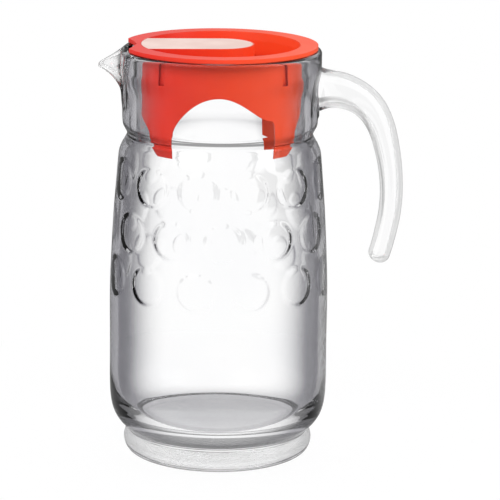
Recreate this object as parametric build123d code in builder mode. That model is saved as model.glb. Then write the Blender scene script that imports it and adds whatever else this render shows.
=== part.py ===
# Glass jug with a lift-off pouring lid, millimetres.
# The origin is the centre of the flat resting face, +Z is up along the axis of the vessel,
# -X points at the spout and +X at the handle.
from build123d import *
from math import cos, radians, sin
import os

# Outside of the vessel
body_radius = 58.5
rim_height = 219.6
neck_radius = 51.9
foot_inset = 7.6
foot_height = 6.9
foot_curl = 6.9
pinch_inset = 9.7
pinch_height = 11.6
heel_height = 35.0
heel_bulge = [(4.8, 17.2), (1.3, 10.4)]
body_top = 90.0
taper_bow = 0.85
shoulder_inset = 4.4
shoulder_fall = 13.4
shoulder_round = 3.1
waist_inset = 2.6
neck_length = 45.2
collar_rise = 7.1
bead_step = 1.5
bead_drop = 9.6
bead_run = 7.0
rim_round = 1.9

# Inside of the vessel
base_thickness = 17.0
floor_inset = 25.5
wall = 4.4
inner_heel_rise = 4.0
ridge_wall = 5.0
throat_step = 0.6
throat_rise = 4.1
mouth_wall = 5.8
mouth_flare = 1.2

# Spout
spout_overhang = 13.3
spout_drop = 8.0
spout_wall = 3.4
spout_nose = 2.4
spout_root_depth = 17.6
spout_root_half_width = 20.0
spout_flank_angle = 16.0
spout_height = 35.6
lip_start = 5.4
lip_sag = (4.9, 3.8)
lip_slope = 0.52

# Handle, fused to the neck at its upper end only
handle_root_drop = 21.6
handle_root_depth = 8.0
handle_length = 94.0
handle_depth = 18.4
handle_width = 12.1
finger_space = 27.55
handle_end_round = 4.0
handle_spans = 20
pad_height = 33.0
pad_width = 24.0
pad_drop = 26.1
pad_thickness = 0.6

# Lid
lid_clearance = 0.2
skirt_clearance = 0.9
flange_thickness = 2.2
flange_inset = 2.0
dish_inset = 1.4
dish_depth = 14.6
dish_floor_thickness = 1.8
skirt_wall = 2.0
ledge_rise = 1.2
ledge_step = 0.45
groove_drop = 3.0
groove_depth = 0.9
barb_land = 1.0
barb_length = 4.2
lead_in = 1.8
leg_inner_angle = 36.0
spout_gap_rise = 15.4
arch_margin = 4.8
arch_rise = 12.6
arch_shoulder = 3.7
handle_arch_margin = 6.6
handle_arch_shoulder = 8.3
slot_width = 3.6
slot_height = 11.0
slot_drop = 2.4
slot_depth = 1.1
notch_inset = 1.0
notch_margin = 2.4
notch_bow = 0.5

# Tongue that stands in the dish, and the pale inlay on it
tongue_half_width = 17.7
tongue_wall = 1.5
tongue_top_wall = 1.6
inlay_border = 0.7
inlay_thickness = 1.2
inlay_clearance = 0.12

# Worked out from the sizes above
foot_radius = body_radius - foot_inset
rest_radius = foot_radius - foot_curl
pinch_radius = body_radius - pinch_inset
shoulder_radius = body_radius - shoulder_inset
waist_radius = neck_radius - waist_inset
bead_radius = neck_radius + bead_step
waist_height = rim_height - neck_length
shoulder_height = waist_height - shoulder_fall
neck_start = waist_height + collar_rise
bead_height = rim_height - bead_drop
ridge_radius = waist_radius - ridge_wall
throat_radius = ridge_radius + throat_step
mouth_radius = bead_radius - mouth_wall
spout_reach = neck_radius + spout_overhang
spout_tip_height = rim_height - spout_drop
handle_reach = body_radius + finger_space + handle_width / 2
handle_root_height = rim_height - handle_root_drop
lid_underside = rim_height + lid_clearance
lid_top = lid_underside + flange_thickness
flange_radius = bead_radius - flange_inset
skirt_radius = ridge_radius - skirt_clearance
skirt_inner = skirt_radius - skirt_wall
dish_radius = skirt_radius - dish_inset
dish_floor = lid_top - dish_depth
dish_underside = dish_floor - dish_floor_thickness
ledge_height = waist_height + ledge_rise
groove_bottom = waist_height - groove_drop
barb_height = groove_bottom - barb_land
leg_bottom = barb_height - barb_length
far = 2 * (body_radius + rim_height)


def chords(curve, count):
    """Straight runs along a curve, so that what is turned from it keeps few facets."""
    return Polyline(*[curve @ (step / count) for step in range(count + 1)])


def beak_level(height, reach, root_half_width):
    """One level of the beak, seen from above: two hollow flanks that run into a round nose."""
    root = spout_root_depth - mouth_radius
    slope = (cos(radians(spout_flank_angle)), sin(radians(spout_flank_angle)))
    nose_x = -(reach - spout_nose) - spout_nose * slope[1]
    nose_y = spout_nose * slope[0]
    with BuildSketch(Plane.XY.offset(height)) as level:
        with BuildLine():
            TangentArc((nose_x, -nose_y), (root, -root_half_width), tangent=(slope[0], -slope[1]))
            ThreePointArc((nose_x, -nose_y), (-reach, 0), (nose_x, nose_y))
            TangentArc((nose_x, nose_y), (root, root_half_width), tangent=slope)
            Line((root, root_half_width), (root, -root_half_width))
        make_face()
    return level.sketch


# Outside of the vessel as one turned blank
with BuildPart() as vessel_blank:
    with BuildSketch(Plane.XZ):
        with BuildLine():
            underside = Line((0, 0), (rest_radius, 0))
            foot_curve = Spline(
                underside @ 1, (foot_radius, foot_height), tangents=[(1, 0), (0, 1)], mode=Mode.PRIVATE
            )
            foot = chords(foot_curve, 4)
            crown_curve = Spline(
                foot @ 1, (pinch_radius, pinch_height), tangents=[(0, 1), (-0.35, 1)], mode=Mode.PRIVATE
            )
            foot_crown = chords(crown_curve, 3)
            heel_curve = Spline(
                foot_crown @ 1,
                *[(body_radius - inset, heel_height - drop) for inset, drop in heel_bulge],
                (body_radius, heel_height),
                tangents=[(0.35, 1), (0, 1)],
                mode=Mode.PRIVATE,
            )
            heel = chords(heel_curve, 8)
            side = Line(heel @ 1, (body_radius, body_top))
            taper = Polyline(
                side @ 1,
                ((body_radius + shoulder_radius) / 2 + taper_bow, (body_top + shoulder_height) / 2),
                (shoulder_radius, shoulder_height),
            )
            shoulder_curve = Spline(
                taper @ 1,
                (waist_radius + shoulder_round / 2.4, waist_height - shoulder_round),
                (waist_radius, waist_height),
                tangents=[(-0.09, 1), (0, 1)],
                mode=Mode.PRIVATE,
            )
            shoulder = chords(shoulder_curve, 6)
            collar_curve = Spline(
                shoulder @ 1, (neck_radius, neck_start), tangents=[(0, 1), (0, 1)], mode=Mode.PRIVATE
            )
            collar = chords(collar_curve, 4)
            neck = Line(collar @ 1, (neck_radius, bead_height - bead_run))
            bead = Line(neck @ 1, (bead_radius, bead_height))
            rim_edge = Polyline(
                bead @ 1,
                (bead_radius, rim_height - rim_round),
                (bead_radius - 0.3 * rim_round, rim_height - 0.3 * rim_round),
                (bead_radius - rim_round, rim_height),
            )
            top = Line(rim_edge @ 1, (0, rim_height))
            Line(top @ 1, (0, 0))
        make_face()
    revolve(axis=Axis.Z)

# Beak of the spout: how high and how far out each level is, cut off along the drooping lip
beak_levels = [
    (rim_height - spout_height, neck_radius - 0.7),
    (rim_height - 24.6, neck_radius + 0.4),
    (rim_height - 17.1, neck_radius + 4.1),
    (spout_tip_height, spout_reach),
    (rim_height + 2.4, spout_reach + 11.4),
]

with BuildPart() as beak:
    loft([beak_level(height, reach, spout_root_half_width) for height, reach in beak_levels])
    with BuildSketch(Plane.XZ):
        with BuildLine():
            lip = Spline(
                (lip_start - neck_radius, rim_height),
                (-neck_radius - lip_sag[0], rim_height - lip_sag[1]),
                (-spout_reach - spout_nose / 6, spout_tip_height),
                tangents=[(-1, 0), (-1, -lip_slope)],
            )
            Polyline(lip @ 1, (-far, spout_tip_height - 30), (-far, far), (0, far), (0, rim_height), lip @ 0)
        make_face()
    extrude(amount=far / 2, both=True, mode=Mode.SUBTRACT)

# Channel inside the beak, one wall smaller all the way up
with BuildPart() as channel:
    channel_half_width = spout_root_half_width - spout_wall
    loft([beak_level(height, reach - 1.5 * spout_wall, channel_half_width) for height, reach in beak_levels])

# Cavity with the thick base below it, the ridge at the waist and the drafted throat
with BuildPart() as cavity:
    with BuildSketch(Plane.XZ):
        with BuildLine():
            inner_body = body_radius - wall
            floor = Line((0, base_thickness), (body_radius - floor_inset, base_thickness))
            inner_heel_curve = Spline(
                floor @ 1,
                (inner_body, heel_height + inner_heel_rise),
                tangents=[(1, 0), (0, 1)],
                tangent_scalars=[1.4, 1.2],
                mode=Mode.PRIVATE,
            )
            inner_heel = chords(inner_heel_curve, 7)
            inner_side = Line(inner_heel @ 1, (inner_body, body_top))
            inner_taper = Polyline(
                inner_side @ 1,
                ((inner_body + shoulder_radius - wall) / 2 + taper_bow, (body_top + shoulder_height) / 2),
                (shoulder_radius - wall, shoulder_height),
            )
            inner_shoulder_curve = Spline(
                inner_taper @ 1, (ridge_radius, waist_height), tangents=[(-0.12, 1), (0, 1)], mode=Mode.PRIVATE
            )
            inner_shoulder = chords(inner_shoulder_curve, 5)
            inner_collar = Line(inner_shoulder @ 1, (throat_radius, waist_height + throat_rise))
            throat = Line(inner_collar @ 1, (mouth_radius, rim_height - mouth_flare))
            flare = Line(throat @ 1, (mouth_radius + mouth_flare, rim_height))
            over = Line(flare @ 1, (mouth_radius + mouth_flare, rim_height + wall))
            close_top = Line(over @ 1, (0, rim_height + wall))
            Line(close_top @ 1, (0, base_thickness))
        make_face()
    revolve(axis=Axis.Z)

# Glass vessel
with BuildPart() as glass_vessel:
    add(vessel_blank.part)
    add(beak.part)
    add(cavity.part, mode=Mode.SUBTRACT)
    add(channel.part, mode=Mode.SUBTRACT)

glass_vessel.part.label = "glass_vessel"

# Handle: how far out, how high, how wide across the hook and how deep, from the root to the free end
handle_stations = [
    (neck_radius - handle_root_depth, handle_root_height, handle_width + 10.4, handle_depth + 3.0),
    (handle_reach - 27.1, handle_root_height - 0.01 * handle_length, handle_width + 6.9, handle_depth),
    (handle_reach - 11.7, handle_root_height - 0.113 * handle_length, handle_width + 4.1, handle_depth),
    (handle_reach - 3.4, handle_root_height - 0.316 * handle_length, handle_width + 1.6, handle_depth),
    (handle_reach, handle_root_height - 0.596 * handle_length, handle_width, handle_depth),
    (handle_reach - 2.6, handle_root_height - 0.823 * handle_length, handle_width - 0.3, handle_depth - 1.6),
    (handle_reach - 7.2, handle_root_height - handle_length, handle_width - 0.5, handle_depth - 3.4),
]
with BuildLine() as handle_line:
    spine = Spline(*[(x, 0, z) for x, z, across, deep in handle_stations], tangents=[(1, 0, 0), (-0.42, 0, -1)])

station_places = [spine.param_at_point((x, 0, z)) for x, z, across, deep in handle_stations]


def oval_size(place):
    """Width and depth of the handle at a place along its spine, between the two nearest stations."""
    after = next(i for i, there in enumerate(station_places) if i > 0 and place <= there + 1e-6)
    share = (place - station_places[after - 1]) / (station_places[after] - station_places[after - 1])
    near, beyond = handle_stations[after - 1], handle_stations[after]
    return [a + share * (b - a) for a, b in zip(near[2:], beyond[2:])]


def handle_oval(place, inset):
    """One oval square to the spine, smaller all round by the inset."""
    across, deep = oval_size(place)
    square = Plane(origin=spine.position_at(place), x_dir=(0, 1, 0), z_dir=spine.tangent_at(place))
    with BuildSketch(square) as oval:
        Ellipse(deep / 2 - inset, across / 2 - inset)
    return oval.sketch


# The hook ends in a rounded tip: its last ovals draw in along a quarter circle
tip_start = 1 - handle_end_round / spine.length
hook_ovals = [handle_oval(tip_start * step / handle_spans, 0) for step in range(handle_spans + 1)]
tip_ovals = []
for angle in (30, 60, 90):
    place = tip_start + (1 - tip_start) * sin(radians(angle))
    tip_ovals.append(handle_oval(place, handle_end_round * (1 - cos(radians(angle)))))

with BuildPart() as glass_handle:
    loft(hook_ovals + tip_ovals, ruled=True)
    # Pad that the root is pressed out to, following the neck
    with BuildSketch(Plane.YZ.offset(neck_radius - wall)):
        with Locations((0, rim_height - pad_drop)):
            SlotOverall(pad_height, pad_width, rotation=90)
    extrude(amount=wall + 6)
    with BuildSketch(Plane.XY.offset(0)):
        Circle(neck_radius + pad_thickness)
        with Locations((neck_radius + far / 2 - 8, 0)):
            Rectangle(far, handle_depth + 3.2)
    extrude(amount=rim_height, mode=Mode.INTERSECT)
    add(vessel_blank.part, mode=Mode.SUBTRACT)

glass_handle.part.label = "glass_handle"

# Lid: flange, dish and skirt turned in one piece, then opened for pouring
leg_half_gap = skirt_radius * sin(radians(leg_inner_angle))
below_legs = leg_bottom - skirt_wall
tongue_ceiling = lid_top - inlay_thickness - tongue_top_wall
tongue_foot = dish_floor - dish_floor_thickness / 2
notch_half_width = tongue_half_width - notch_inset
slot_top = lid_underside - slot_drop
hollow_half_width = tongue_half_width - tongue_wall

with BuildPart() as lid:
    with BuildSketch(Plane.XZ):
        with BuildLine():
            Polyline(
                (0, dish_underside),
                (skirt_inner, dish_underside),
                (skirt_inner, leg_bottom),
                (skirt_radius - lead_in, leg_bottom),
                (skirt_radius, barb_height),
                (skirt_radius, groove_bottom),
                (skirt_radius - groove_depth, groove_bottom + groove_depth),
                (skirt_radius - groove_depth, ledge_height - groove_depth),
                (skirt_radius + ledge_step, ledge_height),
                (skirt_radius + ledge_step, ledge_height + ledge_step),
                (skirt_radius, ledge_height + 3 * ledge_step),
                (skirt_radius, lid_underside),
                (flange_radius, lid_underside),
                (flange_radius, lid_top),
                (dish_radius, lid_top),
                (skirt_inner, lid_top - 2 * flange_thickness),
                (skirt_inner, dish_floor),
                (0, dish_floor),
                close=True,
            )
        make_face()
    revolve(axis=Axis.Z)

    # Tongue that stands in the dish, from the middle out to the spout side, hollow below
    with BuildSketch(Plane.XY.offset(tongue_foot)):
        Circle(tongue_half_width)
        with Locations((-skirt_inner / 2, 0)):
            Rectangle(skirt_inner, 2 * tongue_half_width)
        Circle(skirt_radius - skirt_wall / 2, mode=Mode.INTERSECT)
    extrude(amount=lid_top - tongue_foot)
    with BuildSketch(Plane.XY.offset(below_legs)):
        Circle(hollow_half_width)
        with Locations((-flange_radius / 2, 0)):
            Rectangle(flange_radius, 2 * hollow_half_width)
    extrude(amount=tongue_ceiling - below_legs, mode=Mode.SUBTRACT)

    # Arches at the front and the back, between the legs
    with BuildSketch(Plane.XZ):
        with BuildLine():
            crown = Spline(
                (-leg_half_gap, ledge_height),
                (arch_shoulder - leg_half_gap, ledge_height + arch_rise),
                (0, dish_underside - arch_margin),
                (leg_half_gap - arch_shoulder, ledge_height + arch_rise),
                (leg_half_gap, ledge_height),
                tangents=[(0, 1), (0, -1)],
            )
            Polyline(crown @ 1, (leg_half_gap, below_legs), (-leg_half_gap, below_legs), crown @ 0)
        make_face()
    extrude(amount=flange_radius, both=True, mode=Mode.SUBTRACT)

    # Lower arch on the handle side
    with BuildSketch(Plane.YZ):
        with BuildLine():
            handle_crown = Spline(
                (-leg_half_gap, ledge_height),
                (handle_arch_shoulder - leg_half_gap, ledge_height + arch_rise),
                (0, dish_underside - handle_arch_margin),
                (leg_half_gap - handle_arch_shoulder, ledge_height + arch_rise),
                (leg_half_gap, ledge_height),
                tangents=[(0, 1), (0, -1)],
            )
            Polyline(handle_crown @ 1, (leg_half_gap, below_legs), (-leg_half_gap, below_legs), handle_crown @ 0)
        make_face()
    extrude(amount=flange_radius, mode=Mode.SUBTRACT)

    # The gap for pouring flares out below the tongue, down to the feet of the legs
    with BuildSketch(Plane.YZ):
        with BuildLine():
            flank = Spline(
                (hollow_half_width - tongue_wall, ledge_height + spout_gap_rise),
                (leg_half_gap, ledge_height),
                tangents=[(0.2, -1), (0, -1)],
            )
            Polyline(flank @ 1, (leg_half_gap, below_legs), (0, below_legs), (0, ledge_height + spout_gap_rise), flank @ 0)
        make_face()
        mirror(about=Plane.YZ)
    extrude(amount=-flange_radius - skirt_wall, mode=Mode.SUBTRACT)

    # Pocket for the inlay in the top of the tongue
    with BuildSketch(Plane.XY.offset(lid_top)):
        Circle(tongue_half_width - inlay_border)
        with Locations((-dish_radius / 2, 0)):
            Rectangle(dish_radius, 2 * (tongue_half_width - inlay_border))
        Circle(dish_radius, mode=Mode.INTERSECT)
    extrude(amount=-inlay_thickness, mode=Mode.SUBTRACT)

    # Notch over the spout
    with BuildSketch(Plane.XY.offset(lid_underside - flange_thickness)):
        notch_vertex = -(dish_radius + notch_margin)
        notch_tip = (-((flange_radius**2 - notch_half_width**2) ** 0.5), notch_half_width)
        with BuildLine():
            notch_side = ThreePointArc(
                (notch_vertex, 0),
                ((notch_vertex + notch_tip[0]) / 2 + notch_bow, notch_half_width / 2),
                notch_tip,
            )
            Polyline(notch_side @ 1, (-far, notch_half_width), (-far, 0), notch_side @ 0)
        make_face()
        mirror(about=Plane.XZ)
    extrude(amount=3 * flange_thickness, mode=Mode.SUBTRACT)

    # Sunk slots at the top of the skirt, one above each leg
    with BuildSketch(Plane.XY.offset(slot_top - slot_height)):
        with PolarLocations(skirt_radius, 4, start_angle=45):
            Rectangle(2 * slot_depth, slot_width)
    extrude(amount=slot_height, mode=Mode.SUBTRACT)

lid.part.label = "lid"

# Pale inlay, flush with the top of the tongue
with BuildPart() as lid_inlay:
    with BuildSketch(Plane.XY.offset(lid_top)):
        Circle(tongue_half_width - inlay_border - inlay_clearance)
        with Locations((-dish_radius / 2, 0)):
            Rectangle(dish_radius, 2 * (tongue_half_width - inlay_border - inlay_clearance))
        Circle(dish_radius - inlay_clearance, mode=Mode.INTERSECT)
    extrude(amount=-inlay_thickness)

lid_inlay.part.label = "lid_inlay"

os.makedirs("parts", exist_ok=True)
export_step(glass_vessel.part, "parts/glass_vessel.step")
export_step(glass_handle.part, "parts/glass_handle.step")
export_step(lid.part, "parts/lid.step")
export_step(lid_inlay.part, "parts/lid_inlay.step")
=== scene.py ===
"""Glass jug with a red pouring lid: the looks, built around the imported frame."""

import math

import bmesh
import bpy
import numpy as np
from bpy.props import FloatProperty, FloatVectorProperty, IntProperty, PointerProperty
from mathutils import Matrix, Vector


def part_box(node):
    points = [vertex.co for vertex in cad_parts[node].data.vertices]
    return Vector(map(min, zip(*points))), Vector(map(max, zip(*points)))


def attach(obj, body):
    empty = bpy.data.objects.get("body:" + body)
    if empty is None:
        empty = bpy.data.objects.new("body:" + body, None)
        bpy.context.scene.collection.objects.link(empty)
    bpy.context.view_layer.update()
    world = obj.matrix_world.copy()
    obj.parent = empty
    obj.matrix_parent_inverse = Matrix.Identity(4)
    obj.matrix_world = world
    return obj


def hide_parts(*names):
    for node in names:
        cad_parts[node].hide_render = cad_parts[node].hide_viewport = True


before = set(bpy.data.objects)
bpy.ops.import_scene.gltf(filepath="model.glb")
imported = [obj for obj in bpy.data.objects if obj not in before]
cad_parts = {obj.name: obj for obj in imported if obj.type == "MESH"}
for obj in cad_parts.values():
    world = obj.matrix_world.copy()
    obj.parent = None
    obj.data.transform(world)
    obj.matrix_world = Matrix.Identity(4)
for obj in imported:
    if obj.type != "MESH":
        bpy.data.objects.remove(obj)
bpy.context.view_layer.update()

bl_info = {
    "name": "Glass Jug With Pouring Lid",
    "version": (1, 0, 0),
    "blender": (4, 5, 0),
    "location": "View3D > Sidebar > Glass Jug",
    "description": "Builds a pressed clear glass jug, its red lid with a pale inlay, and a pale studio stage",
    "category": "Object",
}

MM = 0.001

# The glass is shaped in millimetres. Its profiles are (radius, height), the first from the middle of the underside
# up the outside
OUTER_PROFILE = [
    (44.0, 0.0), (46.9, 0.35), (49.2, 1.7), (50.5, 4.2), (50.9, 6.9), (50.4, 9.2), (49.3, 10.9),
    (48.8, 11.8), (49.4, 13.4), (51.4, 15.4), (53.7, 17.8), (55.9, 21.2), (57.2, 24.6), (58.0, 28.6),
    (58.5, 35.0), (58.5, 62.0), (58.5, 90.0), (57.8, 109.0), (57.1, 122.0), (56.3, 135.0), (55.2, 148.0),
    (54.1, 161.0), (53.6, 164.9), (52.4, 168.1), (50.6, 171.3), (49.3, 174.4), (50.4, 177.2),
    (51.5, 179.3), (51.9, 182.5), (51.9, 192.0), (51.9, 201.5), (52.5, 205.0), (53.3, 208.6),
    (53.4, 212.0), (53.4, 219.6),
]
# From the middle of the floor up the inside
INNER_PROFILE = [
    (33.0, 17.0), (38.5, 17.5), (43.5, 19.2), (47.7, 22.2), (51.0, 26.6), (53.2, 32.2), (54.1, 39.0),
    (54.1, 62.0), (54.1, 90.0), (53.4, 109.0), (52.7, 122.0), (51.8, 135.0), (50.8, 148.0), (49.7, 158.5),
    (49.2, 163.6), (47.7, 167.4), (45.6, 170.8), (44.3, 174.4), (44.6, 177.2), (45.0, 180.5),
    (45.5, 190.0), (46.5, 204.0), (47.4, 216.0), (47.6, 219.6),
]
# Line that the lip follows: distance towards the spout, height
LIP_LINE = [(46.5, 219.6), (49.5, 219.2), (52.0, 218.4), (56.8, 215.7), (65.2, 211.6), (66.6, 210.9)]
# Keel of the beak: height, reach
KEEL = [
    (184.0, 51.2), (190.0, 51.9), (195.0, 52.4), (198.2, 53.1), (201.4, 54.8), (205.1, 57.8),
    (208.3, 62.0), (211.6, 67.3), (215.0, 72.2), (222.0, 81.0),
]
# Stations of the handle, from inside the wall of the neck: reach, height, width across the hook, depth
HANDLE_STATIONS = [
    (48.6, 198.0, 25.0, 21.6), (52.2, 198.0, 24.0, 21.0), (54.6, 198.0, 22.2, 19.9),
    (58.5, 197.9, 20.2, 18.8), (65.0, 197.0, 19.0, 18.4), (73.6, 193.3, 17.4, 18.4),
    (80.4, 187.4, 16.2, 18.4), (85.5, 178.6, 14.8, 18.4), (88.7, 168.3, 13.7, 18.4),
    (91.2, 155.3, 12.7, 18.4), (92.1, 142.0, 12.1, 18.4), (91.4, 130.8, 11.9, 17.9),
    (89.5, 120.6, 11.8, 16.8), (87.4, 111.9, 11.7, 15.9), (84.9, 104.0, 11.6, 15.0),
]

NECK_RADIUS = 51.9
FLOOR_HEIGHT = 17.0
NECK_FOOT, THROAT_FOOT = 184.0, 176.0  # below these heights the walls are round
BARREL_START = 60.0  # above this height a wall has one radius for each height
BARREL_END = 170.0
RIM_ROUND, SPOUT_RIM_ROUND = 1.9, 1.15
SPOUT_RIM_TURNS = (8.0, 20.0)  # degrees from the spout between which the rim's rounding changes
MOUTH_FLARE, MOUTH_FLARE_DEPTH = 1.2, 2.6
UNDERSIDE_RADII = (12.0, 24.0, 36.0)
FLOOR_RADII = (24.0, 14.0, 6.0)

# Beak of the spout, outside and inside: half width at the root, radius of the nose, blend into the wall, and the
# heights between which it swells out of the neck
SPOUT_ROOT, SPOUT_NOSE, SPOUT_BLEND, SPOUT_START = 20.0, 2.4, 1.6, (186.0, 192.0)
THROAT_ROOT, THROAT_NOSE, THROAT_BLEND, THROAT_START = 17.2, 1.7, 1.4, (188.0, 196.0)
SPOUT_WALL = 4.4
SPOUT_FLANK = math.radians(16.0)
SPOUT_ROOT_REACH = 30.0

# Low pad on the neck round the root of the handle
PAD_MIDDLE, PAD_STRAIGHT, PAD_THICKNESS, PAD_EDGE = 193.5, 4.5, 0.55, (9.6, 12.2)

# A dimple is part round bowl, part flat floor with a soft wall, placed in shares of its half width
DIMPLE_BOWL, DIMPLE_WALL = 0.45, (0.77, 1.04)

# The rest is in metres: where the handle, the beak and the foot begin, for the finish of the glass
HANDLE_START = (0.050, 0.062)
BEAK_START, BEAK_FOOT = (0.050, 0.056), (0.198, 0.204)
FOOT_END = (0.010, 0.022)

WHITE = (1.0, 1.0, 1.0, 1.0)
PLASTIC_IOR = 1.49

INLAY_HALF_WIDTH = 0.0169
# Painted shade of the seam round the inlay
INLAY_RIM = (0.0009, 0.0002)  # distances from the edge between which the rim turns deeper

# Painted shade: how the glass greys between seen straight on, 0, and seen along its wall, 1, in place of the dark
# surroundings that it bends and mirrors there
WALL_GREYS, SOLID_GREYS = (0.14, 0.60), (0.66, 1.0)
SOLID_PLAINNESS, FOOT_PLAINNESS = 0.5, 0.5

# Dark strips round the studio: how many, their soft edges in the cosine of their turn, and the part behind the jug
# that stays bright
STRIPS, STRIP_EDGE = 16, (-0.95, -0.25)
BRIGHT_BEHIND, BRIGHT_LEVEL = (0.88, 0.96), 0.86

# Bands of the sky by the height of the view's direction, from -1 to 1
BROW_FOOT, BROW_TOP = (0.05, 0.11), (0.20, 0.36)
GLOSS_RISE = (0.10, 0.30)

# Distances from the jug over which the floor turns white, and over which its strips begin
FLOOR_FADE, STRIPS_BEGIN = (0.10, 0.24), (0.50, 0.80)
FLOOR_HALF_WIDTH = 6.0

LAMP_AIM = (0.0, 0.0, 0.12)
KEY_PLACE, KEY_SIZE = (-0.75, -0.85, 1.05), 0.9
FILL_PLACE, FILL_SIZE = (1.0, -0.55, 0.75), 0.8

SENSOR_WIDTH = 36.0  # mm
FRAME_WIDTH = 500  # pixels
AXIS_SHIFT = 31.0  # pixels from the middle of the frame to the jug's axis
CAMERA_AIM = 0.110  # height of the point that the lens is aimed past


class Wire:
    """A shader socket that Python sums can use."""

    def __init__(self, shader, socket):
        self.shader = shader
        self.socket = socket

    def _math(self, operation, *values):
        return self.shader.node("ShaderNodeMath", {"operation": operation}, dict(enumerate(values)))

    def __add__(self, other):
        return self._math("ADD", self, other)

    def __radd__(self, other):
        return self._math("ADD", other, self)

    def __sub__(self, other):
        return self._math("SUBTRACT", self, other)

    def __rsub__(self, other):
        return self._math("SUBTRACT", other, self)

    def __mul__(self, other):
        return self._math("MULTIPLY", self, other)

    def __rmul__(self, other):
        return self._math("MULTIPLY", other, self)

    def __truediv__(self, other):
        return self._math("DIVIDE", self, other)

    def __rtruediv__(self, other):
        return self._math("DIVIDE", other, self)

    def __pow__(self, other):
        return self._math("POWER", self, other)

    def smaller(self, other):
        return self._math("MINIMUM", self, other)

    def larger(self, other):
        return self._math("MAXIMUM", self, other)

    def cosine(self):
        return self._math("COSINE", self)

    def angle_from(self, other):
        """Angle whose tangent is this over the other."""
        return self._math("ARCTAN2", self, other)

    def ramp(self, start, end):
        """0 at the start, 1 at the end, eased at both."""
        settings = {"interpolation_type": "SMOOTHSTEP"}
        return self.shader.node("ShaderNodeMapRange", settings, {0: self, 1: start, 2: end, 3: 0.0, 4: 1.0})


class Shader:
    """The node tree of one material or world."""

    def __init__(self, owner):
        owner.use_nodes = True
        self.nodes = owner.node_tree.nodes
        self.links = owner.node_tree.links
        self.nodes.clear()

    def node(self, kind, settings=None, inputs=None, output=0):
        """Adds a node: its settings first, then the values or links of its sockets."""
        made = self.nodes.new(kind)
        for name, value in (settings or {}).items():
            setattr(made, name, value)
        for key, value in (inputs or {}).items():
            if isinstance(value, Wire):
                self.links.new(value.socket, made.inputs[key])
            else:
                made.inputs[key].default_value = value
        return None if output is None else Wire(self, made.outputs[output])

    def axes(self, vector):
        split = self.node("ShaderNodeSeparateXYZ", {}, {0: vector})
        return [Wire(self, socket) for socket in split.socket.node.outputs]

    def blend(self, share, first, second):
        """A colour between two, by a share from 0 to 1."""
        return self.node("ShaderNodeMix", {"data_type": "RGBA"}, {0: share, 6: first, 7: second}, 2)

    def noise(self, vector, scale, detail=2.0):
        return self.node("ShaderNodeTexNoise", {}, {"Vector": vector, "Scale": scale, "Detail": detail})

    def place(self):
        """Position in the object's own frame."""
        return self.node("ShaderNodeTexCoord", {}, {}, "Object")

    def bump(self, height, strength, distance):
        inputs = {"Height": height, "Strength": strength, "Distance": distance}
        return self.node("ShaderNodeBump", {}, inputs)

    def finish(self, surface, kind="ShaderNodeOutputMaterial"):
        self.node(kind, {}, {"Surface": surface}, None)

    def seen(self):
        """Whether a ray comes from the camera, through glass, or off a glossy surface."""
        path = self.node("ShaderNodeLightPath").socket.node
        camera, glossy, through = (
            Wire(self, path.outputs[name])
            for name in ("Is Camera Ray", "Is Glossy Ray", "Is Transmission Ray")
        )
        return camera, through, glossy * (1.0 - through)


def colour(value):
    return (*value, 1.0)


def smooth_path(points, steps):
    """A curve through rows of numbers, with the given number of steps between each two."""
    rows = np.array(points, float)
    gaps = np.sqrt(np.linalg.norm(np.diff(rows[:, :2], axis=0), axis=1))
    slopes = np.empty_like(rows)
    ahead = np.diff(rows, axis=0) / gaps[:, None]
    slopes[0], slopes[-1] = ahead[0], ahead[-1]
    weight = gaps[:-1, None] / (gaps[:-1] + gaps[1:])[:, None]
    slopes[1:-1] = ahead[:-1] * (1 - weight) + ahead[1:] * weight
    made = []
    for i, gap in enumerate(gaps):
        for step in range(steps):
            t = step / steps
            made.append(
                (2 * t**3 - 3 * t**2 + 1) * rows[i]
                + (t**3 - 2 * t**2 + t) * gap * slopes[i]
                + (3 * t**2 - 2 * t**3) * rows[i + 1]
                + (t**3 - t**2) * gap * slopes[i + 1]
            )
    made.append(rows[-1])
    return np.array(made)


def even_path(points, spacing):
    """A curve through (radius, height) points, cut into equal lengths."""
    fine = smooth_path(points, 24)
    run = np.concatenate([[0.0], np.cumsum(np.linalg.norm(np.diff(fine, axis=0), axis=1))])
    count = max(2, int(round(run[-1] / spacing)))
    at = np.linspace(0.0, run[-1], count + 1)
    return np.column_stack([np.interp(at, run, fine[:, k]) for k in range(fine.shape[1])])


def soft_max(a, b, blend):
    """The larger of two, rounded where they cross."""
    near = np.clip(blend - np.abs(a - b), 0.0, None) / blend
    return np.maximum(a, b) + near**2 * blend * 0.25


def soft_step(value, start, end):
    t = np.clip((value - start) / (end - start), 0.0, 1.0)
    return t * t * (3 - 2 * t)


def beak_radius(turn, reach, root_half_width, nose):
    """Distance from the axis to the beak's outline, for turns away from the spout in radians."""
    away = np.array([math.sin(SPOUT_FLANK), math.cos(SPOUT_FLANK)])
    start = np.array([reach - nose, 0.0]) + nose * away
    root = np.array([SPOUT_ROOT_REACH, root_half_width])
    span = root - start
    bend = span @ span / (2 * (span @ away))
    centre = start + bend * away
    nose_angles = np.linspace(0.0, math.pi / 2 - SPOUT_FLANK, 12)
    outline = [(reach - nose + nose * math.cos(a), nose * math.sin(a)) for a in nose_angles]
    first = math.atan2(*(start - centre)[::-1])
    last = math.atan2(*(root - centre)[::-1])
    for a in np.linspace(first, last, 40)[1:]:
        outline.append((centre[0] + bend * math.cos(a), centre[1] + bend * math.sin(a)))
    outline = np.array(outline)
    angles = np.arctan2(outline[:, 1], outline[:, 0])
    return np.interp(np.abs(turn), angles, np.hypot(outline[:, 0], outline[:, 1]))


def lip_height(towards_spout):
    line = smooth_path(LIP_LINE, 8)
    return np.interp(towards_spout, line[:, 0], line[:, 1])


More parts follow.
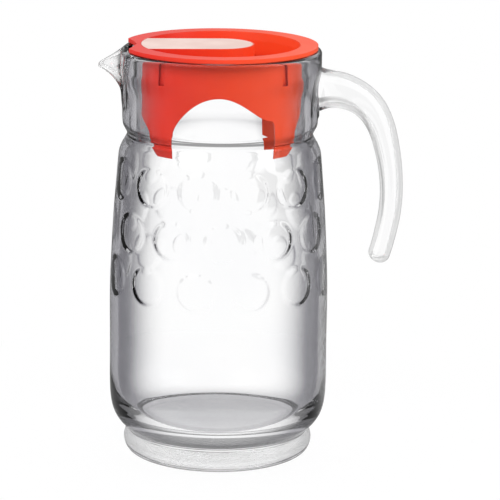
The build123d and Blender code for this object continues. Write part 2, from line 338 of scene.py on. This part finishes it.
class VesselShape:
    """Outer and inner walls of the vessel, as a radius for every turn and height."""

    def __init__(self, settings):
        # Turns away from the spout in degrees, closer together round its nose
        half = np.concatenate([
            np.arange(0.0, 3.0, 0.3), np.arange(3.0, 14.0, 0.5), np.arange(14.0, 180.0, 1.0)
        ])
        self.turns = np.radians(np.concatenate([half, [180.0], -half[:0:-1]]))
        self.settings = settings
        self.rim = settings.rim_height / MM
        self.outer = even_path(OUTER_PROFILE, 1.1)
        self.inner = even_path(INNER_PROFILE, 1.0)
        self.keel = smooth_path(KEEL, 8)

    def outer_radius(self, turn_index, height):
        """Radius of the outside, where the wall and the beak meet in a soft hollow."""
        turn = self.turns[turn_index]
        wall = self.round_wall(self.outer, height)
        beak = self.beak(turn, height, 0.0, SPOUT_ROOT, SPOUT_NOSE)
        share = soft_step(height, *SPOUT_START)
        made = wall + (soft_max(wall, beak, SPOUT_BLEND) - wall) * share
        return made + self.root_pad(turn, height)

    def inner_radius(self, turn_index, height):
        """Radius of the inside, which flares at the mouth and runs out into the throat of the beak."""
        wall = self.round_wall(self.inner, height)
        flared = wall + MOUTH_FLARE * soft_step(height, self.rim - MOUTH_FLARE_DEPTH, self.rim) ** 2
        throat = self.beak(self.turns[turn_index], height, SPOUT_WALL, THROAT_ROOT, THROAT_NOSE)
        share = soft_step(height, *THROAT_START)
        return flared + (soft_max(flared, throat, THROAT_BLEND) - flared) * share

    def round_wall(self, profile, height):
        start = np.searchsorted(profile[:, 1], BARREL_START)
        return np.interp(height, profile[start:, 1], profile[start:, 0])

    def beak(self, turn, height, wall, root_half_width, nose):
        """Radius of the beak at the given heights, a wall's thickness inside the keel."""
        reach = np.interp(height, self.keel[:, 0], self.keel[:, 1]) - wall
        return np.array([beak_radius(turn, far, root_half_width, nose) for far in np.atleast_1d(reach)])

    def root_pad(self, turn, height):
        """Low stadium-shaped pad round the root of the handle."""
        across = NECK_RADIUS * (math.pi - abs(turn))
        up = np.clip(np.abs(height - PAD_MIDDLE) - PAD_STRAIGHT, 0.0, None)
        return PAD_THICKNESS * (1 - soft_step(np.hypot(across, up), *PAD_EDGE))

    def dimples(self, height, radius):
        """Depth of the round optic dimples in the inner wall, for all turns at one height."""
        sizes = self.settings
        depth = np.zeros(len(self.turns))
        pitch = 2 * math.pi / sizes.dimples_round
        for row in range(sizes.dimple_rows):
            middle = (sizes.dimple_top - row * sizes.dimple_pitch) / MM
            shift = 0.5 if row % 2 == 0 else 0.0
            place = (self.turns - math.pi / 2) / pitch - shift
            across = (place - np.round(place)) * pitch * radius
            away = np.hypot(across, height - middle) / (sizes.dimple_width / MM / 2)
            bowl = np.clip(1 - away**2, 0.0, 1.0)
            wall = 1 - soft_step(away, *DIMPLE_WALL)
            depth += sizes.dimple_depth / MM * (DIMPLE_BOWL * bowl + (1 - DIMPLE_BOWL) * wall)
        return depth

    def top_of(self, radius_at, turn_index, drop):
        """Height where a wall meets the lip, less a drop, for one turn."""
        turn = self.turns[turn_index]
        height = self.rim
        for _ in range(14):
            radius = float(np.squeeze(radius_at(turn_index, height)))
            height = 0.5 * height + 0.5 * float(lip_height(radius * math.cos(turn)))
        return height - drop


def flat_ring(shape, radius, height):
    count = len(shape.turns)
    return np.column_stack([np.full(count, radius), np.full(count, height)])


def wall_rings(shape, profile, radius_at, fixed_top, drops):
    """Rings of one wall, stretched above the given height so that they end along the lip."""
    low = profile[profile[:, 1] < fixed_top]
    high = profile[profile[:, 1] >= fixed_top]
    rings = [flat_ring(shape, radius, height) for radius, height in low]
    share = (high[:, 1] - fixed_top) / (shape.rim - fixed_top)
    columns = []
    for index in range(len(shape.turns)):
        top = shape.top_of(radius_at, index, drops[index])
        heights = fixed_top + share * (top - fixed_top)
        columns.append(np.column_stack([radius_at(index, heights), heights]))
    columns = np.array(columns)
    return rings + [columns[:, row] for row in range(len(high))]


def rim_rings(shape, outer_ring, inner_ring, rounds):
    """Rings over the rim, from the outer wall to the inner one, with both corners rounded."""
    steps = 14
    made = []
    thickness = outer_ring[:, 0] - inner_ring[:, 0]
    for step in range(1, steps):
        share = 0.5 - 0.5 * math.cos(math.pi * step / steps)
        radius = outer_ring[:, 0] + (inner_ring[:, 0] - outer_ring[:, 0]) * share
        edge = np.minimum(share, 1 - share) * thickness
        inset = np.clip(rounds - edge, 0.0, None)
        drop = rounds - np.sqrt(np.clip(rounds**2 - inset**2, 0.0, None))
        height = lip_height(radius * np.cos(shape.turns)) - drop
        made.append(np.column_stack([radius, height]))
    return made


def ring_mesh(name, rings, turns):
    """Closed mesh through rings of (radius, height), with a middle point at each end."""
    count = len(turns)
    points = [
        np.column_stack([-ring[:, 0] * np.cos(turns), -ring[:, 0] * np.sin(turns), ring[:, 1]]) for ring in rings
    ]
    first = [0.0, 0.0, float(rings[0][:, 1].mean())]
    last = [0.0, 0.0, float(rings[-1][:, 1].mean())]
    points = np.vstack(points + [[first], [last]]) * MM
    faces = []
    for row in range(len(rings) - 1):
        for k in range(count):
            after = (k + 1) % count
            a, b = row * count + k, row * count + after
            faces.append((a, a + count, b + count, b))
    start, end = len(rings) * count, len(rings) * count + 1
    for k in range(count):
        after = (k + 1) % count
        faces.append((start, k, after))
        top = (len(rings) - 1) * count
        faces.append((end, top + after, top + k))
    mesh = bpy.data.meshes.new(name)
    mesh.from_pydata(points.tolist(), [], faces)
    mesh.update()
    return mesh


def outward(mesh):
    """Turns all faces outward."""
    work = bmesh.new()
    work.from_mesh(mesh)
    bmesh.ops.recalc_face_normals(work, faces=work.faces)
    work.to_mesh(mesh)
    work.free()
    return mesh


def new_piece(name, mesh):
    piece = bpy.data.objects.new(name, mesh)
    bpy.context.scene.collection.objects.link(piece)
    return piece


def vessel_mesh(settings):
    """Outside, rim and inside of the vessel as one closed skin."""
    shape = VesselShape(settings)
    spout_share = 1 - soft_step(np.abs(np.degrees(shape.turns)), *SPOUT_RIM_TURNS)
    rounds = RIM_ROUND - (RIM_ROUND - SPOUT_RIM_ROUND) * spout_share
    outer = wall_rings(shape, shape.outer, shape.outer_radius, NECK_FOOT, rounds)
    inner = wall_rings(shape, shape.inner, shape.inner_radius, THROAT_FOOT, rounds)
    for ring in inner:
        height = float(ring[0, 1])
        if height < BARREL_END:
            ring[:, 0] += shape.dimples(height, float(ring[0, 0]))
    under = [flat_ring(shape, radius, 0.0) for radius in UNDERSIDE_RADII]
    floor = [flat_ring(shape, radius, FLOOR_HEIGHT) for radius in FLOOR_RADII]
    rim = rim_rings(shape, outer[-1], inner[-1], rounds)
    rings = under + outer + rim + inner[::-1] + floor
    return outward(ring_mesh("vessel", rings, shape.turns))


def handle_mesh(settings):
    """Ovals swept along the hook, drawn in to a rounded tip at the free end."""
    path = smooth_path(HANDLE_STATIONS, 8)
    spine = path[:, :2]
    heading = np.gradient(spine, axis=0)
    heading /= np.linalg.norm(heading, axis=1)[:, None]
    run = np.concatenate([[0.0], np.cumsum(np.linalg.norm(np.diff(spine, axis=0), axis=1))])
    tip = settings.handle_tip / MM
    rows = [
        (spine[i], heading[i], path[i, 2] / 2, path[i, 3] / 2)
        for i in range(len(path))
        if run[i] < run[-1] - tip
    ]
    for angle in np.radians(np.arange(0, 91, 9)):
        place = run[-1] - tip + tip * math.sin(angle)
        inset = tip * (1 - math.cos(angle))
        x, z, width, depth = (np.interp(place, run, path[:, k]) for k in range(4))
        along = np.array([np.interp(place, run, heading[:, k]) for k in range(2)])
        rows.append((np.array([x, z]), along / np.linalg.norm(along), width / 2 - inset, depth / 2 - inset))
    around = np.linspace(0.0, 2 * math.pi, 72, endpoint=False)
    points = []
    for middle, along, half_across, half_deep in rows:
        square = np.array([-along[1], along[0]])
        x = middle[0] + square[0] * half_across * np.cos(around)
        z = middle[1] + square[1] * half_across * np.cos(around)
        points.append(np.column_stack([x, half_deep * np.sin(around), z]))
    count = len(around)
    faces = [tuple(range(count))]
    for row in range(len(points) - 1):
        for k in range(count):
            after = (k + 1) % count
            a, b = row * count + k, row * count + after
            faces.append((a, b, b + count, a + count))
    faces.append(tuple(range((len(points) - 1) * count, len(points) * count)))
    mesh = bpy.data.meshes.new("handle")
    mesh.from_pydata((np.vstack(points) * MM).tolist(), [], faces)
    mesh.update()
    return outward(mesh)


def joined(first, second, name):
    """One watertight mesh from two that cross."""
    base = new_piece(name, first)
    other = new_piece(name + "_part", second)
    union = base.modifiers.new("fuse", "BOOLEAN")
    union.operation = "UNION"
    union.solver = "MANIFOLD"
    union.object = other
    graph = bpy.context.evaluated_depsgraph_get()
    mesh = bpy.data.meshes.new_from_object(base.evaluated_get(graph))
    bpy.data.objects.remove(other)
    bpy.data.objects.remove(base)
    mesh.name = name
    return mesh


def smooth_shading(mesh, sharp_angle):
    mesh.shade_smooth()
    mesh.set_sharp_from_angle(angle=math.radians(sharp_angle))


def clear_glass(settings):
    """Clear pressed glass: slightly wavy, with painted shade that greys it along its walls, and plainer where it is
    solid.
    """
    material = bpy.data.materials.new("clear_glass")
    s = Shader(material)
    place = s.place()
    across, _, up = s.axes(place)
    wave = s.noise(place, 22.0, 1.0)
    ripple = s.noise(place, 90.0, 1.0)
    grazing = s.node("ShaderNodeLayerWeight", {}, {"Blend": 0.5}, "Facing")
    handle = across.ramp(*HANDLE_START)
    beak = (0.0 - across).ramp(*BEAK_START) * up.ramp(*BEAK_FOOT)
    solid = handle.larger(beak)
    foot = 1.0 - up.ramp(*FOOT_END)
    # Painted shade: the glass greys where it is seen along its wall, in place of the dark surroundings that it bends
    # and mirrors
    walls = grazing.ramp(*WALL_GREYS) * (1.0 - solid) * (1.0 - foot * FOOT_PLAINNESS)
    edge = walls + grazing.ramp(*SOLID_GREYS) * solid
    clear = s.blend(wave.ramp(0.3, 0.7), colour(settings.glass_tint), WHITE)
    inputs = {
        "Base Color": s.blend(edge, clear, colour(settings.glass_edge_shade)),
        "Roughness": ripple.ramp(0.3, 0.8) * 0.012,
        "IOR": settings.glass_ior,
        "Specular Tint": colour(settings.glass_shine),
        "Transmission Weight": 1.0,
        "Normal": s.bump(wave + ripple * 0.25, 0.10, 0.0006),
    }
    glass = s.node("ShaderNodeBsdfPrincipled", {}, inputs)
    plain = s.node("ShaderNodeBsdfTransparent", {}, {"Color": WHITE})
    clearer = s.node("ShaderNodeMixShader", {}, {0: solid * SOLID_PLAINNESS, 1: glass, 2: plain})
    # The lamps shine through the walls onto the lid
    shadow = s.node("ShaderNodeLightPath", {}, {}, "Is Shadow Ray")
    lit_through = s.node("ShaderNodeBsdfTransparent", {}, {"Color": colour(settings.glass_shadow)})
    s.finish(s.node("ShaderNodeMixShader", {}, {0: shadow, 1: clearer, 2: lit_through}))
    return material


def red_plastic(settings):
    """Satin moulded plastic: an even red, with painted light that turns it lighter and more orange to one side and
    painted shade that deepens it in its recesses, with soft edges.
    """
    material = bpy.data.materials.new("red_plastic")
    s = Shader(material)
    place = s.place()
    across, _, _ = s.axes(place)
    cloud = s.noise(place, 35.0)
    grain = s.noise(place, 900.0, 3.0)
    # Painted light: the lid turns lighter and more orange towards the handle side, where the light falls
    lit_side = (across + 0.01 * cloud).ramp(-0.045, 0.045)
    red = s.blend(lit_side, colour(settings.lid_red), colour(settings.lid_lit_red))
    red = s.blend(cloud.ramp(0.35, 0.8) * 0.12, red, colour(settings.lid_deep_red))
    # Painted shade: the plastic turns a deeper red in the slots, under the flange and in other recesses, where shade
    # falls
    nearby = {"samples": 8, "only_local": True}
    open_air = s.node("ShaderNodeAmbientOcclusion", nearby, {"Distance": settings.lid_recess}, "AO")
    red = s.blend((1.0 - open_air).ramp(0.08, 0.5) * 0.7, red, colour(settings.lid_shade_red))
    edges = s.node("ShaderNodeBevel", {"samples": 6}, {"Radius": settings.lid_edge})
    bump = s.node(
        "ShaderNodeBump", {}, {"Height": grain, "Strength": 0.06, "Distance": 0.0002, "Normal": edges}
    )
    inputs = {
        "Base Color": red,
        "Roughness": settings.lid_roughness + cloud.ramp(0.3, 0.8) * 0.06,
        "IOR": PLASTIC_IOR,
        "Specular IOR Level": 0.25,
        "Coat Weight": 0.04,
        "Coat Roughness": 0.2,
        "Subsurface Weight": 0.08,
        "Subsurface Radius": (0.004, 0.001, 0.0006),
        "Normal": bump,
    }
    s.finish(s.node("ShaderNodeBsdfPrincipled", {}, inputs))
    return material


def pale_plastic(settings):
    """Satin inlay of the tongue, with painted shade along its rim where it meets the lid."""
    material = bpy.data.materials.new("pale_plastic")
    s = Shader(material)
    place = s.place()
    across, deep, _ = s.axes(place)
    cloud = s.noise(place, 60.0)
    grain = s.noise(place, 1200.0, 2.0)
    past_middle = across.larger(0.0)
    away = (past_middle * past_middle + deep * deep) ** 0.5
    # Painted shade: the inlay turns deeper towards its rim, where it meets the lid
    rim = away.ramp(*(INLAY_HALF_WIDTH - inset for inset in INLAY_RIM))
    pale = s.blend(cloud.ramp(0.3, 0.8), colour(settings.inlay_colour), colour(settings.inlay_light))
    inputs = {
        "Base Color": s.blend(rim * 0.6, pale, colour(settings.inlay_seam_shade)),
        "Roughness": 0.36 + cloud.ramp(0.3, 0.8) * 0.08,
        "IOR": PLASTIC_IOR,
        "Coat Weight": 0.1,
        "Normal": s.bump(grain, 0.05, 0.0002),
    }
    s.finish(s.node("ShaderNodeBsdfPrincipled", {}, inputs))
    return material


def studio_strips(across, along, level):
    """Bright all round, with narrow dark strips that give the glass clear edges, fainter right behind the jug."""
    turns = (across.angle_from(along) * STRIPS).cosine()
    strips = level + (1.0 - level) * turns.ramp(*STRIP_EDGE)
    behind = along / (across * across + along * along) ** 0.5
    return strips.larger(behind.ramp(*BRIGHT_BEHIND) * BRIGHT_LEVEL)


def studio_world(settings):
    """White to the camera, strips and a dark band to the glass, dimmer to gloss, and even light for the rest."""
    world = bpy.data.worlds.new("studio")
    bpy.context.scene.world = world
    s = Shader(world)
    across, along, up = s.axes(s.node("ShaderNodeTexCoord", {}, {}, "Generated"))
    camera, through, mirrored = s.seen()
    brow = up.ramp(*BROW_FOOT) * (1.0 - up.ramp(*BROW_TOP))
    glass = studio_strips(across, along, settings.strip_level) * (1.0 - brow * (1.0 - settings.brow_level))
    gloss = settings.gloss_low + (settings.gloss_high - settings.gloss_low) * up.ramp(*GLOSS_RISE)
    other = 1.0 - (camera + through + mirrored).smaller(1.0)
    level = camera + through * glass * settings.through_level + mirrored * gloss + other * settings.ambient
    backdrop = s.node("ShaderNodeBackground", {}, {"Color": WHITE, "Strength": level})
    s.finish(backdrop, "ShaderNodeOutputWorld")


def floor_paint(settings):
    """Pale floor: it takes the jug's shadow near it and runs out into white."""
    material = bpy.data.materials.new("studio_floor")
    s = Shader(material)
    across, along, _ = s.axes(s.place())
    camera, through, mirrored = s.seen()
    away = (across * across + along * along) ** 0.5
    near = 1.0 - away.ramp(*STRIPS_BEGIN)
    glass = near.larger(studio_strips(across, along, settings.strip_level))
    matt = s.node("ShaderNodeBsdfDiffuse", {}, {"Color": colour(settings.floor_colour)})
    level = camera + through * glass * settings.through_level + mirrored * settings.gloss_low
    white = s.node("ShaderNodeEmission", {}, {"Color": WHITE, "Strength": level})
    spread = settings.floor_white + (1.0 - settings.floor_white) * away.ramp(*FLOOR_FADE)
    seen = (camera + through + mirrored).smaller(1.0)
    s.finish(s.node("ShaderNodeMixShader", {}, {0: seen * spread, 1: matt, 2: white}))
    return material


class JugSettings(bpy.types.PropertyGroup):
    """Sizes and finishes of the glass."""

    rim_height: FloatProperty(
        name="Rim height", description="Height of the rim above the table", unit="LENGTH",
        default=round(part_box("glass_vessel")[1].z, 6),
    )
    dimple_rows: IntProperty(name="Dimple rows", description="Rows of round dimples in the inner wall", default=3)
    dimples_round: IntProperty(name="Dimples round", description="Dimples in each row", default=12)
    dimple_top: FloatProperty(
        name="Top row", description="Height of the middle of the top row", unit="LENGTH", default=0.152
    )
    dimple_pitch: FloatProperty(
        name="Row pitch", description="Height between two rows of dimples", unit="LENGTH", default=0.026
    )
    dimple_width: FloatProperty(
        name="Dimple width", description="Width of one dimple", unit="LENGTH", default=0.0215
    )
    dimple_depth: FloatProperty(
        name="Dimple depth", description="Depth of a dimple in its middle", unit="LENGTH", default=0.0010
    )
    handle_tip: FloatProperty(
        name="Handle tip", description="Rounding of the free end of the handle", unit="LENGTH", default=0.0048
    )
    glass_ior: FloatProperty(name="Glass bending", description="Index of refraction of the glass", default=1.5)
    glass_tint: FloatVectorProperty(
        name="Glass tint", description="Colour of the glass seen straight on", subtype="COLOR",
        default=(0.985, 0.987, 0.992),
    )
    # Painted shade at the glass's edges
    glass_edge_shade: FloatVectorProperty(
        name="Glass edge", description="Colour of the glass where it is seen along its wall", subtype="COLOR",
        default=(0.16, 0.157, 0.178),
    )
    glass_shine: FloatVectorProperty(
        name="Glass shine", description="Reflection of the glass seen straight on", subtype="COLOR",
        default=(0.12, 0.12, 0.125),
    )
    glass_shadow: FloatVectorProperty(
        name="Glass shadow", description="Share of the lamps' light that one surface lets through", subtype="COLOR",
        default=(0.95, 0.95, 0.96),
    )


class LidSettings(bpy.types.PropertyGroup):
    """Finishes of the lid and its inlay."""

    lid_red: FloatVectorProperty(
        name="Lid red", description="Red of the lid", subtype="COLOR", default=(0.72, 0.022, 0.012)
    )
    # Painted light: the lighter orange red of the side where the light falls
    lid_lit_red: FloatVectorProperty(
        name="Lid warm red", description="Red of the lid on the handle side", subtype="COLOR",
        default=(0.88, 0.076, 0.017),
    )
    lid_deep_red: FloatVectorProperty(
        name="Lid deep red", description="Red of the faint clouds in the plastic", subtype="COLOR",
        default=(0.55, 0.012, 0.012),
    )
    # Painted shade in the slots and under the flange
    lid_shade_red: FloatVectorProperty(
        name="Lid recess red", description="Red in the slots and under the flange", subtype="COLOR",
        default=(0.42, 0.008, 0.006),
    )
    lid_recess: FloatProperty(
        name="Recess reach", description="How far the walls of a recess shade it", unit="LENGTH", default=0.006
    )
    lid_edge: FloatProperty(
        name="Lid edge", description="Softening of the moulded edges", unit="LENGTH", default=0.0006
    )
    lid_roughness: FloatProperty(name="Lid roughness", description="0 is a mirror, 1 is matt", default=0.42)
    inlay_colour: FloatVectorProperty(
        name="Inlay", description="Colour of the inlay", subtype="COLOR", default=(0.77, 0.54, 0.48)
    )
    inlay_light: FloatVectorProperty(
        name="Inlay light", description="Lighter shade of the inlay", subtype="COLOR", default=(0.85, 0.65, 0.59)
    )
    # Painted shade along the seam round the inlay
    inlay_seam_shade: FloatVectorProperty(
        name="Inlay rim", description="Deeper shade along the rim of the inlay", subtype="COLOR",
        default=(0.80, 0.42, 0.36),
    )


class StageSettings(bpy.types.PropertyGroup):
    """Floor, light and camera."""

    floor_colour: FloatVectorProperty(
        name="Floor", description="Colour of the floor", subtype="COLOR", default=(0.86, 0.86, 0.87)
    )
    floor_white: FloatProperty(
        name="Floor white", description="Share of plain white in the floor beside the jug", default=0.90
    )
    strip_level: FloatProperty(
        name="Strip level", description="Brightness of the dark strips that outline the glass", default=0.42
    )
    brow_level: FloatProperty(
        name="Brow level", description="Brightness of the dark band above the horizon", default=0.36
    )
    through_level: FloatProperty(
        name="Through level", description="Brightness of the white that the glass shows", default=1.0
    )
    gloss_low: FloatProperty(
        name="Gloss low", description="Brightness that gloss shows near the horizon", default=0.22
    )
    gloss_high: FloatProperty(name="Gloss high", description="Brightness that gloss shows above", default=1.0)
    ambient: FloatProperty(name="Ambient", description="Light from all round", default=0.80)
    key_power: FloatProperty(name="Key light", description="Power of the soft light, left and above", default=9.0)
    fill_power: FloatProperty(name="Fill light", description="Power of the soft light on the right", default=6.5)
    lens: FloatProperty(name="Lens", description="Focal length in mm on a 36 mm frame", default=191.016)
    distance: FloatProperty(
        name="Camera distance", description="From the lens to the middle of the jug", unit="LENGTH", default=1.42466
    )
    tilt: FloatProperty(
        name="Tilt", description="How far the camera looks down", unit="ROTATION", default=math.radians(13.85)
    )
    roll: FloatProperty(name="Roll", description="Turn of the frame", unit="ROTATION", default=math.radians(0.7))
    turn: FloatProperty(
        name="Turn", description="How far the jug's spout is turned to the camera", unit="ROTATION",
        default=math.radians(3.2),
    )


class GLASSJUG_OT_glass(bpy.types.Operator):
    """Build the vessel and its handle as one piece of clear glass"""

    bl_idname = "glassjug.glass"
    bl_label = "Glass Vessel and Handle"

    def execute(self, context):
        settings = context.scene.jug_settings
        mesh = joined(vessel_mesh(settings), handle_mesh(settings), "glass_jug")
        if len(mesh.polygons) < 1000:
            raise RuntimeError("the handle and the vessel didn't join")
        smooth_shading(mesh, 40.0)
        piece = new_piece("glass_jug", mesh)
        mesh.materials.clear()
        mesh.materials.append(clear_glass(settings))
        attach(piece, "jug")
        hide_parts("glass_vessel", "glass_handle")
        return {"FINISHED"}


class GLASSJUG_OT_lid(bpy.types.Operator):
    """Finish the lid and the inlay of its tongue"""

    bl_idname = "glassjug.lid"
    bl_label = "Lid and Inlay"

    def execute(self, context):
        settings = context.scene.lid_settings
        for name, material in (("lid", red_plastic(settings)), ("lid_inlay", pale_plastic(settings))):
            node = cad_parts[name]
            node.data.materials.clear()
            node.data.materials.append(material)
        return {"FINISHED"}


class GLASSJUG_OT_stage(bpy.types.Operator):
    """Set the floor, the light and the camera"""

    bl_idname = "glassjug.stage"
    bl_label = "Stage"

    def execute(self, context):
        settings = context.scene.stage_settings
        context.scene.view_settings.view_transform = "Standard"
        studio_world(settings)
        self.floor(settings)
        self.lamp("key_light", settings.key_power, KEY_PLACE, KEY_SIZE)
        self.lamp("fill_light", settings.fill_power, FILL_PLACE, FILL_SIZE)
        self.camera(context, settings)
        return {"FINISHED"}

    def floor(self, settings):
        mesh = bpy.data.meshes.new("floor")
        work = bmesh.new()
        bmesh.ops.create_grid(work, x_segments=2, y_segments=2, size=FLOOR_HALF_WIDTH)
        work.to_mesh(mesh)
        work.free()
        floor = new_piece("floor", mesh)
        mesh.materials.append(floor_paint(settings))

    def lamp(self, name, power, place, size):
        data = bpy.data.lights.new(name, "AREA")
        data.shape = "DISK"
        data.size = size
        data.energy = power
        lamp = new_piece(name, data)
        aim = Vector(LAMP_AIM) - Vector(place)
        lamp.location = place
        lamp.rotation_mode = "QUATERNION"
        lamp.rotation_quaternion = aim.to_track_quat("-Z", "Y")

    def camera(self, context, settings):
        """Place the lens by the photograph's own view: tilt, roll and turn, and where the axis falls in the frame."""
        tilt_cos, tilt_sin = math.cos(settings.tilt), math.sin(settings.tilt)
        roll_cos, roll_sin = math.cos(settings.roll), math.sin(settings.roll)
        turn_cos, turn_sin = math.cos(settings.turn), math.sin(settings.turn)
        right = np.array([1.0, 0.0, 0.0])
        forward = np.array([0.0, tilt_cos, -tilt_sin])
        up = np.array([0.0, tilt_sin, tilt_cos])
        frame_right = roll_cos * right + roll_sin * up
        frame_up = roll_cos * up - roll_sin * right
        shift = AXIS_SHIFT / (settings.lens / SENSOR_WIDTH * FRAME_WIDTH)
        place = np.array([0.0, 0.0, CAMERA_AIM]) - settings.distance * (forward - shift * frame_right)
        turn = np.array([[turn_cos, turn_sin, 0.0], [-turn_sin, turn_cos, 0.0], [0.0, 0.0, 1.0]])
        columns = turn @ np.column_stack([frame_right, frame_up, -forward, place])
        data = bpy.data.cameras.new("camera")
        data.sensor_width = SENSOR_WIDTH
        data.lens = settings.lens
        data.clip_start = 0.05
        camera = new_piece("camera", data)
        camera.matrix_world = Matrix([*columns.tolist(), [0.0, 0.0, 0.0, 1.0]])
        context.scene.camera = camera


class GLASSJUG_PT_panel(bpy.types.Panel):
    """Sidebar of the glass jug"""

    bl_idname = "GLASSJUG_PT_panel"
    bl_label = "Glass Jug"
    bl_space_type = "VIEW_3D"
    bl_region_type = "UI"
    bl_category = "Glass Jug"

    def draw(self, context):
        for operator, settings in (
            (GLASSJUG_OT_glass, context.scene.jug_settings),
            (GLASSJUG_OT_lid, context.scene.lid_settings),
            (GLASSJUG_OT_stage, context.scene.stage_settings),
        ):
            box = self.layout.box()
            for name in settings.__annotations__:
                box.prop(settings, name)
            box.operator(operator.bl_idname)


CLASSES = (
    JugSettings,
    LidSettings,
    StageSettings,
    GLASSJUG_OT_glass,
    GLASSJUG_OT_lid,
    GLASSJUG_OT_stage,
    GLASSJUG_PT_panel,
)


def register():
    for made in CLASSES:
        bpy.utils.register_class(made)
    bpy.types.Scene.jug_settings = PointerProperty(type=JugSettings)
    bpy.types.Scene.lid_settings = PointerProperty(type=LidSettings)
    bpy.types.Scene.stage_settings = PointerProperty(type=StageSettings)


def unregister():
    del bpy.types.Scene.stage_settings
    del bpy.types.Scene.lid_settings
    del bpy.types.Scene.jug_settings
    for made in reversed(CLASSES):
        bpy.utils.unregister_class(made)


def main():
    register()
    bpy.ops.glassjug.glass()
    bpy.ops.glassjug.lid()
    bpy.ops.glassjug.stage()


if __name__ == "__main__":
    main()
